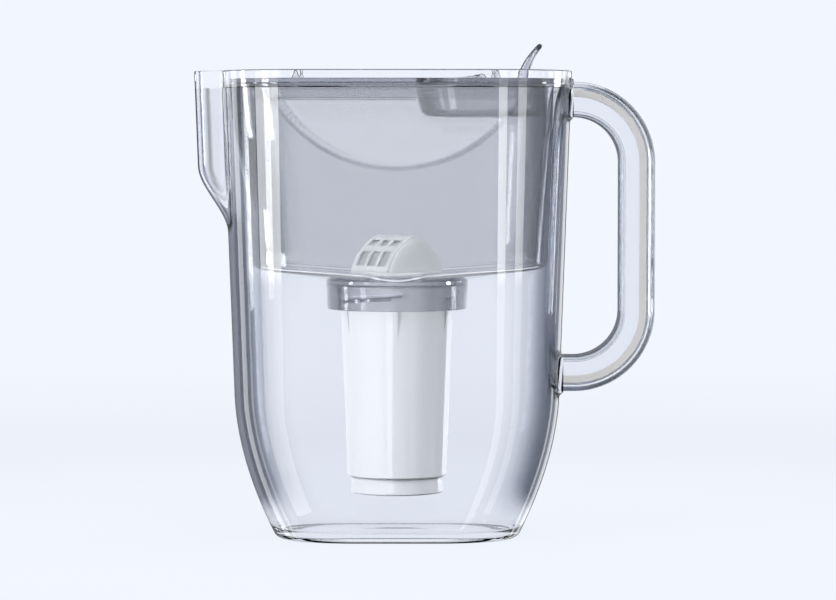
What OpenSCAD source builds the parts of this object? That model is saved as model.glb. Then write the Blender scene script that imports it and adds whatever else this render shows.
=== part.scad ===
// Filter jug: clear jug with spout and handle, lift-out hopper, lid with a lever-opened flap,
// and a screw-in cartridge. Millimetres. The origin is the centre of the jug's base, on the
// cartridge axis. X runs from the spout (-) to the handle (+), and Z points up.

/* [Jug] */
// Height of the rim above the base
jug_h = 263.5; // [260:0.5:268]
// Outside length at the rim, without the spout
rim_len = 197.6; // [195:0.2:200]
// Outside depth at the rim
rim_dep = 120; // [119:0.5:123]
// Outside length of the base
base_len = 137; // [128:1:145]
// Outside depth of the base
base_dep = 84; // [80:1:92]
// Height where the walls start to draw in towards the base
crease_z = 80; // [74:1:81]
// Thickness of the clear wall
wall = 3; // [2.8:0.1:3.1]
// Thickness of the wall above the hopper's ledge
rim_wall = 1.4; // [1.2:0.1:1.5]
// Depth of the hopper's ledge below the rim
ledge_drop = 9.5; // [9:0.1:10]
// Thickness of the jug's floor
floor_t = 3.2; // [2.5:0.1:5]

/* [Spout] */
// How far the spout stands out from the end wall
spout_out = 15.8; // [12:0.2:18]
// Half the width of the spout at its root
spout_half = 21; // [17:0.5:23]
// Height where the slope under the spout leaves the wall
spout_z = 172; // [168:1:176]
// Height of that slope
spout_slope = 38; // [34:1:42]

/* [Handle] */
// Width of the bar, seen from the side of the jug
bar_w = 19.8; // [18:0.2:20]
// Depth of the bar, front to back
bar_d = 27; // [24:0.5:28]
// Thickness of the bar's walls
bar_wall = 3.2; // [2.4:0.1:3.4]
// Radius of the bar's centre line in its two bends
bend_r = 35.4; // [34:0.1:36]
// Distance of the bends' centres from the cartridge axis
bend_x = 100.1; // [100:0.1:102]
// Height of the upper bend's centre
bend_top = 212.1; // [210:0.1:213]
// Height of the lower bend's centre
bend_low = 128.3; // [126:0.1:130]

/* [Hopper] */
// Wall thickness of the smoky parts
skin_t = 2.4; // [2:0.1:2.6]
// Half length of the mouth on the handle's side
mouth_right = 92.9; // [91.5:0.1:93]
// Half length of the mouth on the spout's side
mouth_left = 95; // [94:0.1:95]
// Half depth of the mouth
mouth_half = 56.2; // [55.4:0.1:56.3]
// Half depth at the floor
hop_floor_half = 50; // [49:0.5:51]
// Height of the underside of the floor at the collar
hop_floor_z = 146; // [145:0.5:147]
// Radius of the arch pressed into each long wall
arch_r = 80; // [76:1:84]
// Depth of that arch
arch_in = 2.4; // [1:0.1:2.6]

/* [Collar and thread] */
// Outer radius of the collar at its top
collar_r = 40.4; // [39:0.1:41]
// Bore radius of the collar
bore_r = 34; // [33.8:0.1:34.2]
// Height of the collar below the hopper's floor
collar_h = 16.7; // [16:0.1:17.5]
// Rise of the thread in one turn
thread_lead = 12; // [11.5:0.1:12.5]
// Number of thread starts
thread_starts = 3; // [3:1:3]

/* [Lid] */
// Thickness of the lid's plate
lid_t = 2.5; // [2.2:0.1:2.8]
// Depth of the pouring well's floor below the lid's underside
well_drop = 18.7; // [18:0.1:19.5]
// Length of the filling hole
hole_len = 36; // [30:1:38]
// Width of the filling hole
hole_w = 44; // [36:1:46]

/* [Flap and lever] */
// Distance of the hinge from the cartridge axis
hinge_x = 73; // [70:0.1:74]
// Height of the hinge above the flap's underside
hinge_up = 3.8; // [3.6:0.1:4.1]
// Radius of the hinge pin
pin_r = 1.5; // [1.4:0.05:1.6]
// Height of the lever's tip
tip_z = 279; // [274:0.5:280]
// Width of the lever, front to back
lever_w = 20; // [16:0.5:21]
// Radius of the lever's backward curve
lever_bend = 36.6; // [35:0.1:40]

/* [Cartridge] */
// Outer radius of the cup below the collar
cup_top_r = 31.6; // [31:0.1:31.7]
// Outer radius of the cup at its bottom
cup_low_r = 28; // [27.5:0.1:28.5]
// Height of the cup's bottom edge
cup_low_z = 34.8; // [33:0.1:36]
// Height of the outlet cap's bottom face
outlet_z = 25.4; // [24:0.1:26]
// Outer radius of the outlet cap
outlet_r = 26; // [25.5:0.1:26.4]
// Height of the intake hood
hood_h = 20.5; // [19:0.5:22]
// Length of the intake hood along its vault
hood_len = 30; // [28:0.5:31]
// Width of the intake hood across its vault
hood_w = 44; // [42:0.5:44]
// Turn of the hood about the cartridge axis
hood_turn = 45; // [0:5:180]

/* [Hidden] */
$fn = 96;

clear_c = [0.86, 0.9, 0.95, 0.4];
smoke_c = [0.55, 0.56, 0.6, 0.7];
white_c = [0.95, 0.96, 0.97];

// Clearances
gap = 0.3;
running = 0.08;
snug = 0.02;
bite = 0.5;

// Plan shape: straight long walls with superelliptic ends
plan_n = 2.2;
flat_rim = 49;
flat_drop = 25;
len_draft = 0.037;
dep_draft = 0.022;
foot_power = 1.86;
foot_len = rim_len / 2 - jug_h * len_draft - base_len / 2;
foot_dep = rim_dep / 2 - jug_h * dep_draft - base_dep / 2;
base_round = 2.4;
floor_round = 5;
spout_power = 1.3;
spout_lag = 1.2;

ledge_z = jug_h - ledge_drop;
flange_t = 2;
flange_z = ledge_z + flange_t;
pad_top_x = 99.2;
pad_low_x = 93.6;
pad_reach = 18;
pad_edge = 0.6;
pad_margin = 1;
bar_mid_top = bend_top + bend_r;
bar_mid_low = bend_low - bend_r;
bar_round = 5;

// Hopper walls
hop_low_z = 160;
end_draft = 0.075;
left_low = 82;
left_low_z = 160;
s_curve_z = 182;
s_curve_h = 58;
floor_corner = 4.2;
dip_x = 22;
dip_h = 1.8;
floor_rise = 5.5;
arch_z = jug_h + 23.5;
arch_soft = 7;
pad_r = collar_r + 1.5;
hop_hole_r = 34.4;

// Collar
collar_z = hop_floor_z - collar_h;
collar_taper = 1;
ridge_z = collar_z + 6;
web_t = 2.4;
web_hole_r = 28.5;
spigot_r = 33.6;
web_z = hop_floor_z - web_t;

// Lid
lid_z = flange_z + gap;
lid_top = lid_z + lid_t;
lid_inset = 1.9;
skirt_h = 8.5;
skirt_half_len = 89.4;
skirt_half_dep = 50;
well_z = lid_z - well_drop;
well_floor_t = 2;
well_floor = well_z + well_floor_t;
well_n = 3.4;
well_top = [48, 40.5, 37];
well_low = [49, 35.5, 33];
well_round = 4;
hole_x = 44;
hole_round = 8;
barrel_r = 3.4;
barrel_half = 22;
ear_t = 3;
ear_in = barrel_half + gap;
flap_t = 2.2;
flap_z = well_floor + gap;
hinge_z = flap_z + hinge_up;
flap_left = 22;
flap_right = 68.4;
flap_half = 26;
flap_round = 12;
post_x = 70.3;
post_w = 6;
post_half = 10;
post_top = hinge_z + 6.5;
tongue = [2.6, 12, 4];
lever_bend_z = 252;
lever_tip_w = 3;

// Cartridge
head_r = 31.7;
head_top = web_z - 1.2;
head_disc = 2.4;
boss_r = 28.1;
boss_in = 26;
boss_top = hop_floor_z + skin_t + 0.6;
cup_t = 1.5;
cup_z = collar_z + 0.3;
bed_gap = 0.2;
mesh_t = 0.6;
pad_t = 5;
inlet_z = head_top - head_disc - mesh_t;
hood_t = 1.6;
hood_z = boss_top + hood_t;

// Smooth step from 0 to 1
function smooth(t) = let (u = max(0, min(1, t))) u * u * (3 - 2 * u);
function mix(a, b, t) = a + (b - a) * t;
function signed_pow(v, p) = sign(v) * pow(abs(v), p);

// Outer jug wall at height z. "foot" is 0 above the crease and 1 at the base.
function foot(z) = z < crease_z ? pow(1 - z / crease_z, foot_power) : 0;
function jug_a(z) = rim_len / 2 - (jug_h - z) * len_draft - foot(z) * foot_len;
function jug_b(z) = rim_dep / 2 - (jug_h - z) * dep_draft - foot(z) * foot_dep;
function jug_flat(z) = flat_rim - foot(z) * flat_drop;
function spout_at(z) = spout_out * smooth((z - spout_z) / spout_slope);

// A station says where a point lies on any plan outline: its share of the straight
// half length, its share of the half depth, and its share of the rounded end.
function end_stations(side, n, power) = [
    for (k = [-n:n]) let (phi = 90 * signed_pow(side * k / n, power))
        [side, signed_pow(sin(phi), 2 / plan_n), side * pow(max(0, cos(phi)), 2 / plan_n)]];
function wall_stations(side, n) = [for (k = [1:1:n - 1]) [side * (1 - 2 * k / n), side, 0]];
function stations(n_end, n_wall, power) = concat(
    end_stations(1, n_end, power), wall_stations(1, n_wall),
    end_stations(-1, n_end, power), wall_stations(-1, n_wall));
function on_plan(s, a, b, flat) = [s[0] * flat + s[2] * (a - flat), s[1] * b];

// Closed solid through rings of points. With loop, the last ring joins the first.
module skin(rings, loop = false) {
    n = len(rings[0]);
    m = len(rings);
    sides = [for (i = [0:m - (loop ? 1 : 2)], j = [0:n - 1])
        let (p = i * n + j, q = i * n + (j + 1) % n, up = ((i + 1) % m) * n)
            each [[p, up + (j + 1) % n, q], [p, up + j, up + (j + 1) % n]]];
    caps = loop ? [] : [[for (j = [0:n - 1]) j], [for (j = [n - 1:-1:0]) (m - 1) * n + j]];
    polyhedron(points = [for (r = rings) each r], faces = concat(sides, caps), convexity = 8);
}

// Rectangle with round corners, centred
module round_rect(w, h, r) {
    square([w - 2 * r, h], center = true);
    square([w, h - 2 * r], center = true);
    for (sx = [-1, 1], sy = [-1, 1])
        translate([sx * (w / 2 - r), sy * (h / 2 - r)]) circle(r);
}

// ---- Jug ----

jug_st = stations(12, 1, 1.4);

function pad_x(z) =
    abs(z - bar_mid_top) <= bar_w / 2 + pad_margin ? pad_top_x :
    abs(z - bar_mid_low) <= bar_w / 2 + pad_margin ? pad_low_x : 0;

function jug_ring(z, inset, lag = 0, pads = false) = [
    for (s = jug_st) let (
        p = on_plan(s, jug_a(z) - inset, jug_b(z) - inset, jug_flat(z)),
        u = min(1, abs(p[1]) / (spout_half - inset)),
        bump = p[0] < 0 ? spout_at(z - lag) * pow(cos(90 * u), spout_power) : 0,
        flat = pads && p[0] > 0 && abs(p[1]) < pad_reach ? pad_x(z) : 0)
        [max(p[0] - bump, flat > 0 ? flat : -jug_h), p[1], z]];

module jug_body() {
    pads = [for (mid = [bar_mid_low, bar_mid_top]) let (h = bar_w / 2 + pad_margin)
        [mid - h - pad_edge, mid - h, mid + h, mid + h + pad_edge]];
    foot_z = [for (z = [12:10:72]) z];
    slope_z = [for (k = [0:8]) spout_z + spout_slope * k / 8];
    outer = concat([for (b = [90:-30:30]) [base_round * (1 - sin(b)), base_round * (1 - cos(b))]],
        [for (z = concat([base_round], foot_z, pads[0], [140], slope_z, pads[1],
            [jug_h - 0.6])) [z, 0]],
        [[jug_h, 0.4]]);
    inner = concat([[jug_h, rim_wall], [ledge_z, rim_wall]],
        [for (z = [ledge_z, 236]) [z, wall]],
        [for (k = [8:-1:0]) [slope_z[k], wall]],
        [for (z = [140, 110, crease_z]) [z, wall]],
        [for (k = [6:-1:0]) [foot_z[k], wall]],
        [for (b = [30:30:90]) [floor_t + floor_round * (1 - sin(b)), wall + floor_round * (1 - cos(b))]]);
    color(clear_c)
        skin(concat([for (l = outer) jug_ring(l[0], l[1], 0, true)],
            [for (l = inner) jug_ring(l[0], l[1], spout_lag)]));
}

// ---- Handle ----

// Carries a flat section round the C of the handle: X of the section points away from the jug
module along_bar() {
    for (top = [true, false])
        translate([0, 0, top ? bend_top : bend_low]) mirror([0, 0, top ? 0 : 1]) {
            translate([bend_x, 0, 0]) rotate([90, 0, 0])
                rotate_extrude(angle = 90) translate([bend_r, 0]) children();
            translate([top ? pad_top_x : pad_low_x, 0, bend_r]) rotate([90, 0, 90])
                linear_extrude(bend_x - (top ? pad_top_x : pad_low_x)) rotate(90) children();
        }
    translate([bend_x + bend_r, 0, bend_low]) linear_extrude(bend_top - bend_low) children();
}

module bar_section() {
    difference() {
        round_rect(bar_w, bar_d, bar_round);
        translate([-bar_wall, 0]) square([bar_w, bar_d - 2 * bar_wall], center = true);
    }
}

module handle_bar() {
    color(clear_c) along_bar() bar_section();
}

module handle_liner() {
    color(clear_c) along_bar()
        translate([(bar_wall - bar_w) / 2, 0]) square([bar_wall, bar_d - 2 * bar_wall], center = true);
}

// ---- Hopper ----

hop_st = stations(8, 10, 1.2);

function hop_right(z) = mouth_right - (ledge_z - z) * end_draft;
function hop_left(z) = let (low = left_low + (z - left_low_z) * end_draft)
    low + (mouth_left - left_low - (ledge_z - left_low_z) * end_draft)
        * smooth((z - s_curve_z) / s_curve_h);
function hop_b(z) = mix(hop_floor_half, mouth_half, (z - hop_floor_z) / (ledge_z - hop_floor_z));
// Height of the underside of the floor at the foot of the walls: it falls to the middle
function hop_floor(x) = hop_floor_z + dip_h * smooth(abs(x) / dip_x)
    + floor_rise * max(0, abs(x) - dip_x) / (mouth_right - dip_x);
// The arch is pressed in above a circle centred over the rim
function arch(x, z) = arch_in * smooth((arch_r - norm([x, arch_z - z])) / arch_soft);

function hop_point(s, z, inset) = let (
    a = s[0] > 0 ? hop_right(z) : hop_left(z), p = on_plan(s, a - inset, hop_b(z) - inset, flat_rim))
    [p[0], p[1] - s[1] * arch(p[0], z)];
function hop_ring(z, inset) = [for (s = hop_st) let (p = hop_point(s, z, inset)) [p[0], p[1], z]];
// Ring b degrees round the corner from wall to floor
function corner_ring(b, inset, lift) = [for (s = hop_st) let (
    r = floor_corner - inset, p = hop_point(s, hop_low_z, inset + r * (1 - cos(b))))
    [p[0], p[1], hop_floor(p[0]) + lift + r * (1 - sin(b))]];
function circle_ring(r, z) = [for (s = hop_st) let (
    p = hop_point(s, hop_low_z, 0), u = p / norm(p)) [u[0] * r, u[1] * r, z]];
function flange_ring(z, inset) = [for (s = hop_st) let (
    p = on_plan(s, jug_a(z) - inset, jug_b(z) - inset, flat_rim)) [p[0], p[1], z]];

module hopper() {
    wall_z = [hop_low_z, 184, 200, 208, 216, 224, 232, 240, 247];
    edge = rim_wall + 0.4;
    color(smoke_c) skin(concat(
        [circle_ring(hop_hole_r, hop_floor_z), circle_ring(pad_r, hop_floor_z)],
        [for (b = [90:-30:0]) corner_ring(b, 0, 0)],
        [for (z = wall_z) hop_ring(z, 0)],
        [hop_ring(ledge_z, 0), flange_ring(ledge_z, edge), flange_ring(flange_z, edge)],
        [hop_ring(flange_z, skin_t)],
        [for (k = [8:-1:0]) hop_ring(wall_z[k], skin_t)],
        [for (b = [0:30:90]) corner_ring(b, skin_t, skin_t)],
        [circle_ring(pad_r, hop_floor_z + skin_t), circle_ring(hop_hole_r, hop_floor_z + skin_t)]),
        loop = true);
}

// ---- Collar and thread ----

// One helical ridge. It turns through span degrees about mid, at height z, between two radii.
module ridge(r_root, r_tip, z, mid, span) {
    root = 0.85;
    tip = 0.5;
    steps = 8;
    up = sign(r_tip - r_root);
    ring = [[r_root, -up * root], [r_tip, -up * tip], [r_tip, up * tip], [r_root, up * root]];
    pts = [for (i = [0:steps]) let (t = mid + span * (i / steps - 0.5))
        for (c = ring) [c[0] * cos(t), c[0] * sin(t), z + thread_lead * (t - mid) / 360 + c[1]]];
    sides = [for (i = [0:steps - 1], j = [0:3]) let (p = 4 * i + j, q = 4 * i + (j + 1) % 4)
        each [[p, q, q + 4], [p, q + 4, p + 4]]];
    ends = [[3, 2, 1, 0], [for (j = [0:3]) 4 * steps + j]];
    polyhedron(points = pts, faces = concat(sides, ends));
}

module socket_collar() {
    color(smoke_c) union() {
        difference() {
            union() {
                translate([0, 0, collar_z])
                    cylinder(h = collar_h, r1 = collar_r - collar_taper, r2 = collar_r);
                translate([0, 0, web_z]) cylinder(h = web_t + skin_t, r = spigot_r);
            }
            translate([0, 0, collar_z - 1]) cylinder(h = web_z - collar_z + 1, r = bore_r);
            translate([0, 0, collar_z]) cylinder(h = 2 * collar_h, r = web_hole_r);
        }
        for (k = [0:thread_starts - 1])
            ridge(bore_r + bite, bore_r - 1.7, ridge_z, 360 * k / thread_starts, 50);
    }
}

// ---- Lid ----

function lid_outline(inset) = [for (s = hop_st)
    on_plan(s, jug_a(lid_z) - inset, jug_b(lid_z) - inset, flat_rim)];
function well_ring(shape, inset, z) = [for (k = [0:39]) let (t = 360 * k / 40)
    [shape[0] + (shape[1] - inset) * signed_pow(cos(t), 2 / well_n),
    (shape[2] - inset) * signed_pow(sin(t), 2 / well_n), z]];
function well_shape(z) = let (t = (z - well_z) / (lid_top - well_z))
    [for (k = [0:2]) mix(well_low[k], well_top[k], t)];

module well_bowl() {
    r = well_round;
    skin(concat(
        [for (b = [90, 45, 0]) let (z = well_z + r * (1 - sin(b)))
            well_ring(well_shape(z), r * (1 - cos(b)), z)],
        [well_ring(well_top, 0, lid_top), well_ring(well_top, well_floor_t, lid_top)],
        [for (b = [0, 45, 90]) let (q = r - well_floor_t, z = well_floor + q * (1 - sin(b)))
            well_ring(well_shape(z), well_floor_t + q * (1 - cos(b)), z)]));
}

// Block with a round top, one each side of the barrel, that holds the hinge pin
module hinge_ears() {
    for (side = [-1, 1])
        translate([hinge_x, side * (ear_in + ear_t / 2), 0]) {
            translate([0, 0, hinge_z]) rotate([90, 0, 0])
                cylinder(h = ear_t, r = barrel_r + 0.3, center = true);
            translate([-barrel_r - 0.3, -ear_t / 2, well_floor - bite])
                cube([2 * barrel_r + 0.6, ear_t, hinge_z - well_floor + bite]);
        }
}

// Small marks on the lid's rim: a pair of pointed ribs and a ribbed ramp on the long edges
module rim_marks() {
    rib = [4.6, 4.2];
    rib_x = 55.5;
    ramp_x = [32.4, 49.6];
    ramp_h = 2.4;
    for (side = [-1, 1]) {
        for (x = [-rib_x, rib_x])
            translate([x, side * 48 + 4, lid_top - bite]) rotate([90, 0, 0])
                linear_extrude(8) polygon([[-rib[0] / 2, 0], [rib[0] / 2, 0], [0.6, rib[1] + bite],
                    [-0.6, rib[1] + bite]]);
        translate([0, side * 47 + 4, lid_top - bite]) rotate([90, 0, 0])
            linear_extrude(8) polygon([[ramp_x[0], 0], [ramp_x[1], 0], [ramp_x[1] - 1, ramp_h + bite],
                [ramp_x[0], bite]]);
    }
}

module lid_frame() {
    color(smoke_c) difference() {
        union() {
            translate([0, 0, lid_z]) linear_extrude(lid_t) difference() {
                polygon(lid_outline(lid_inset));
                polygon([for (p = well_ring(well_top, bite, 0)) [p[0], p[1]]]);
            }
            translate([0, 0, lid_z - skirt_h]) linear_extrude(skirt_h + bite) difference() {
                polygon([for (s = hop_st) on_plan(s, skirt_half_len, skirt_half_dep, flat_rim)]);
                polygon([for (s = hop_st)
                    on_plan(s, skirt_half_len - 1.8, skirt_half_dep - 1.8, flat_rim)]);
            }
            well_bowl();
            hinge_ears();
            rim_marks();
        }
        translate([hole_x, 0, well_z - 1]) linear_extrude(well_floor_t + 2)
            round_rect(hole_len, hole_w, hole_round);
        translate([hinge_x, 0, hinge_z]) rotate([90, 0, 0])
            cylinder(h = 2 * (ear_in + ear_t) + 2, r = pin_r + snug, center = true);
    }
}

module hinge_pin() {
    color(white_c) translate([hinge_x, 0, hinge_z]) rotate([90, 0, 0])
        cylinder(h = 2 * (ear_in + ear_t), r = pin_r, center = true);
}

// ---- Flap and lever ----

module flap() {
    color(smoke_c) difference() {
        union() {
            translate([0, 0, flap_z]) linear_extrude(flap_t) {
                translate([flap_left + flap_round, -flap_half])
                    square([flap_right - flap_left - flap_round, 2 * flap_half]);
                translate([flap_left, flap_round - flap_half])
                    square([flap_round, 2 * (flap_half - flap_round)]);
                for (side = [-1, 1])
                    translate([flap_left + flap_round, side * (flap_half - flap_round)])
                        circle(flap_round);
                translate([flap_right - 1, -barrel_half])
                    square([hinge_x - flap_right, 2 * barrel_half]);
            }
            translate([hinge_x, 0, hinge_z]) rotate([90, 0, 0])
                cylinder(h = 2 * barrel_half, r = barrel_r, center = true);
            translate([post_x - post_w / 2, -post_half, flap_z + flap_t / 2])
                cube([post_w, 2 * post_half, post_top - flap_z - flap_t / 2]);
        }
        translate([hinge_x, 0, hinge_z]) rotate([90, 0, 0])
            cylinder(h = 2 * barrel_half + 2, r = pin_r + running, center = true);
        translate([post_x - tongue[0] / 2, -tongue[1] / 2, post_top - tongue[2]])
            cube([tongue[0], tongue[1], tongue[2] + 1]);
    }
}

// Centre line of the lever: upright from the post, then an arc that leans to the handle
function lever_mid(z) = let (d = max(0, z - lever_bend_z))
    [post_x + lever_bend - sqrt(lever_bend * lever_bend - d * d), z];
function lever_half(z) = mix(post_w, lever_tip_w, smooth((z - 258) / (tip_z - 258))) / 2;
function lever_side(z, side) = let (
    lean = asin(max(0, z - lever_bend_z) / lever_bend), h = side * lever_half(z))
    lever_mid(z) + h * [cos(lean), -sin(lean)];

module thumb_lever() {
    end_z = tip_z - lever_tip_w / 2;
    rows = concat([post_top, lever_bend_z], [for (k = [1:8]) mix(lever_bend_z, end_z, k / 8)]);
    tip = lever_mid(end_z);
    color(smoke_c) {
        translate([0, lever_w / 2, 0]) rotate([90, 0, 0]) linear_extrude(lever_w) {
            polygon(concat([for (z = rows) lever_side(z, -1)],
                [for (k = [9:-1:0]) lever_side(rows[k], 1)]));
            translate(tip) circle(lever_tip_w / 2, $fn = 32);
        }
        translate([post_x - tongue[0] / 2, -tongue[1] / 2, post_top - tongue[2]])
            cube([tongue[0], tongue[1], tongue[2] + 1]);
    }
}

// ---- Cartridge ----

module cartridge_seal() {
    color("dimgray") translate([0, 0, head_top]) difference() {
        cylinder(h = web_z - head_top, r = 31.4);
        translate([0, 0, -1]) cylinder(h = 4, r = boss_r + running);
    }
}

module cartridge_head() {
    half_pitch = thread_lead / thread_starts / 2;
    color(white_c) union() {
        difference() {
            union() {
                translate([0, 0, cup_z]) cylinder(h = head_top - cup_z, r = head_r);
                translate([0, 0, head_top - 1]) cylinder(h = boss_top - head_top + 1, r = boss_r);
            }
            translate([0, 0, cup_z - 1])
                cylinder(h = head_top - head_disc - cup_z + 1, r = head_r - cup_t);
            translate([0, 0, cup_z]) cylinder(h = 2 * collar_h, r = boss_in);
        }
        for (k = [0:thread_starts - 1])
            ridge(head_r - bite, head_r + 1.5, ridge_z + half_pitch, 360 * k / thread_starts, 70);
    }
}

// Outline of the hood's vault: half width falls with height
function vault(w, h) = let (n = 10,
    side = [for (k = [0:n]) let (t = smooth(k / n)) [w / 2 * pow(1 - pow(t, 1.45), 0.63), h * t]])
    concat(side, [for (k = [n - 1:-1:0]) [-side[k][0], side[k][1]]]);

module intake_hood() {
    slot_w = 6.6;
    slot_pitch = 8.6;
    slot_rows = [[3.4, 11.4], [14.6, 17.6]];
    color(white_c) {
        translate([0, 0, boss_top]) difference() {
            cylinder(h = hood_t, r = 26.6);
            rotate(hood_turn) translate([0, 0, hood_t / 2])
                cube([hood_w - 4 * hood_t, hood_len - 2 * hood_t, 2 * hood_t], center = true);
        }
        translate([0, 0, hood_z]) rotate(hood_turn) rotate([90, 0, 0]) difference() {
            translate([0, 0, -hood_len / 2]) linear_extrude(hood_len) polygon(vault(hood_w, hood_h));
            translate([0, 0, hood_t - hood_len / 2]) linear_extrude(hood_len - 2 * hood_t)
                polygon(vault(hood_w - 2 * hood_t, hood_h - hood_t));
            for (k = [-1:1], row = slot_rows)
                translate([-hood_w / 2 - 1, row[0], k * slot_pitch - slot_w / 2])
                    cube([hood_w + 2, row[1] - row[0], slot_w]);
        }
    }
}

function cup_r(z) = mix(cup_low_r, cup_top_r, (z - cup_low_z) / (cup_z - cup_low_z));

// Solid that fills the cup between two heights
module cup_fill(z0, z1) {
    inset = cup_t + bed_gap;
    translate([0, 0, z0]) cylinder(h = z1 - z0, r1 = cup_r(z0) - inset, r2 = cup_r(z1) - inset);
}

module cartridge_shell() {
    rib_h = 14;
    color(white_c) difference() {
        union() {
            translate([0, 0, cup_low_z])
                cylinder(h = cup_z - cup_low_z, r1 = cup_low_r, r2 = cup_top_r);
            for (k = [0:5]) rotate(60 * k + 30)
                translate([0, 0.6, cup_z - rib_h]) rotate([90, 0, 0]) linear_extrude(1.2)
                    polygon([[cup_low_r, 0], [cup_r(cup_z - rib_h) - 0.2, 0],
                        [cup_top_r + 1, rib_h - 2], [cup_top_r + 1, rib_h], [cup_low_r, rib_h]]);
        }
        translate([0, 0, cup_low_z + 1.6])
            cylinder(h = cup_z - cup_low_z, r1 = cup_low_r - cup_t, r2 = cup_top_r - cup_t);
        translate([0, 0, cup_low_z - 1]) cylinder(h = 4, r = outlet_r - 3);
    }
}

module outlet_cap() {
    slots = 12;
    color(white_c) difference() {
        translate([0, 0, outlet_z]) cylinder(h = cup_low_z - outlet_z, r = outlet_r);
        translate([0, 0, outlet_z + 1.6]) cylinder(h = 20, r = outlet_r - 1.6);
        for (k = [0:slots - 1]) rotate(360 * k / slots)
            translate([8, -1, outlet_z - 1]) cube([12, 2, 4]);
    }
}

lower_z = cup_low_z + 1.9;
module outlet_mesh() {
    color("gainsboro") cup_fill(lower_z, lower_z + mesh_t);
}

module lower_pad() {
    color("whitesmoke") cup_fill(lower_z + mesh_t, lower_z + mesh_t + pad_t);
}

module filter_bed() {
    color("dimgray") cup_fill(lower_z + mesh_t + pad_t, cup_z - pad_t);
}

module upper_pad() {
    color("whitesmoke") cup_fill(cup_z - pad_t, cup_z);
}

module inlet_mesh() {
    color("gainsboro") translate([0, 0, inlet_z]) cylinder(h = mesh_t, r = head_r - cup_t - bed_gap);
}

jug_body();
handle_bar();
handle_liner();
hopper();
socket_collar();
lid_frame();
hinge_pin();
flap();
thumb_lever();
cartridge_seal();
cartridge_head();
intake_hood();
inlet_mesh();
upper_pad();
filter_bed();
lower_pad();
outlet_mesh();
cartridge_shell();
outlet_cap();
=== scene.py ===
import math

import bpy
import numpy as np
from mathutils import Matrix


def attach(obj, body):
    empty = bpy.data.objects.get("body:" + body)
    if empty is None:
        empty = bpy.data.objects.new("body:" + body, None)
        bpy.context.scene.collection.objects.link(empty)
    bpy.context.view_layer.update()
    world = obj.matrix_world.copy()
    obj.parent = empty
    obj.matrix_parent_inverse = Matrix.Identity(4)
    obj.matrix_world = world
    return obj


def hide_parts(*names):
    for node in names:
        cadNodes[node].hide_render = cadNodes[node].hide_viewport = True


# Clear filter jug with a lift-out smoky hopper, a lid whose flap is worked by a thumb lever, and a
# white screw-in cartridge. Metres. X runs from the spout to the handle and Z points up.

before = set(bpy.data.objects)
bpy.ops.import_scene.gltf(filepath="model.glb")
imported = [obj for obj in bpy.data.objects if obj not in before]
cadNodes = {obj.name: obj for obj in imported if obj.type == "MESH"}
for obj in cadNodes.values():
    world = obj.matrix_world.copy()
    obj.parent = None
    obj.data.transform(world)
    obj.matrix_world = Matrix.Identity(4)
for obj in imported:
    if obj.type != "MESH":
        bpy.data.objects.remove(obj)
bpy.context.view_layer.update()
scene = bpy.context.scene
print("frame loaded:", len(cadNodes), "nodes")


# numbers on arrays

def smoothStep(t):
    # 3t^2 - 2t^3, held at 0 below 0 and at 1 above 1
    t = np.clip(t, 0, 1)
    return t * t * (3 - 2 * t)


def mix(a, b, t):
    return a + (b - a) * t


def signedPower(v, p):
    return np.sign(v) * np.abs(v) ** p


def arcSteps(count, start=0.0, end=90.0):
    return np.radians(np.linspace(start, end, count + 1))


def turns(count):
    # equal turns round a circle
    return np.linspace(0, 2 * np.pi, count, endpoint=False)


def linear(red, green, blue):
    # colour written as 0 to 255 on a screen, turned into light
    c = np.array([red, green, blue]) / 255
    return (*np.where(c <= 0.04045, c / 12.92, ((c + 0.055) / 1.055) ** 2.4), 1.0)


# meshes from arrays

def gridFaces(rows, cols, looped=False):
    # Four-sided faces between neighbouring points of rows that are closed rings. Rings that run
    # anticlockwise and climb give faces that point outwards.
    i = np.arange(rows if looped else rows - 1)[:, None]
    j = np.arange(cols)[None, :]
    here, up = i * cols, (i + 1) % rows * cols
    after = (j + 1) % cols
    return np.stack([here + j, here + after, up + after, up + j], -1).reshape(-1, 4)


def loft(rings, looped=False, capped=True):
    # rings: rows x columns x 3. The first and last ring are closed by a fan round their middle.
    rings = np.asarray(rings, float)
    rows, cols = rings.shape[:2]
    points = rings.reshape(-1, 3)
    faces = [gridFaces(rows, cols, looped)]
    if capped and not looped:
        j = np.arange(cols)
        after = (j + 1) % cols
        low, high = len(points), len(points) + 1
        points = np.vstack([points, rings[0].mean(0), rings[-1].mean(0)])
        faces.append(np.stack([np.full(cols, low), after, j], -1))
        last = (rows - 1) * cols
        faces.append(np.stack([np.full(cols, high), last + j, last + after], -1))
    return points, faces


def placed(part, turn=0.0, shift=(0, 0, 0)):
    # turned about Z, then moved
    points, faces = part
    c, s = math.cos(turn), math.sin(turn)
    return points @ np.array([[c, s, 0], [-s, c, 0], [0, 0, 1]]) + np.array(shift), faces


def makeMesh(name, parts, sharpAngle=38.0):
    points = np.vstack([p for p, _ in parts])
    faces, base = [], 0
    for p, fs in parts:
        faces += [f + base for f in fs]
        base += len(p)
    corners = np.concatenate([f.ravel() for f in faces]).astype(np.int32)
    sizes = np.concatenate([np.full(len(f), f.shape[1]) for f in faces])
    starts = np.concatenate([[0], np.cumsum(sizes)[:-1]]).astype(np.int32)
    mesh = bpy.data.meshes.new(name)
    mesh.vertices.add(len(points))
    mesh.vertices.foreach_set("co", points.astype(np.float32).ravel())
    mesh.loops.add(len(corners))
    mesh.loops.foreach_set("vertex_index", corners)
    mesh.polygons.add(len(sizes))
    mesh.polygons.foreach_set("loop_start", starts)
    mesh.update(calc_edges=True)
    mesh.shade_smooth()
    mesh.set_sharp_from_angle(angle=math.radians(sharpAngle))
    return mesh


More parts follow.
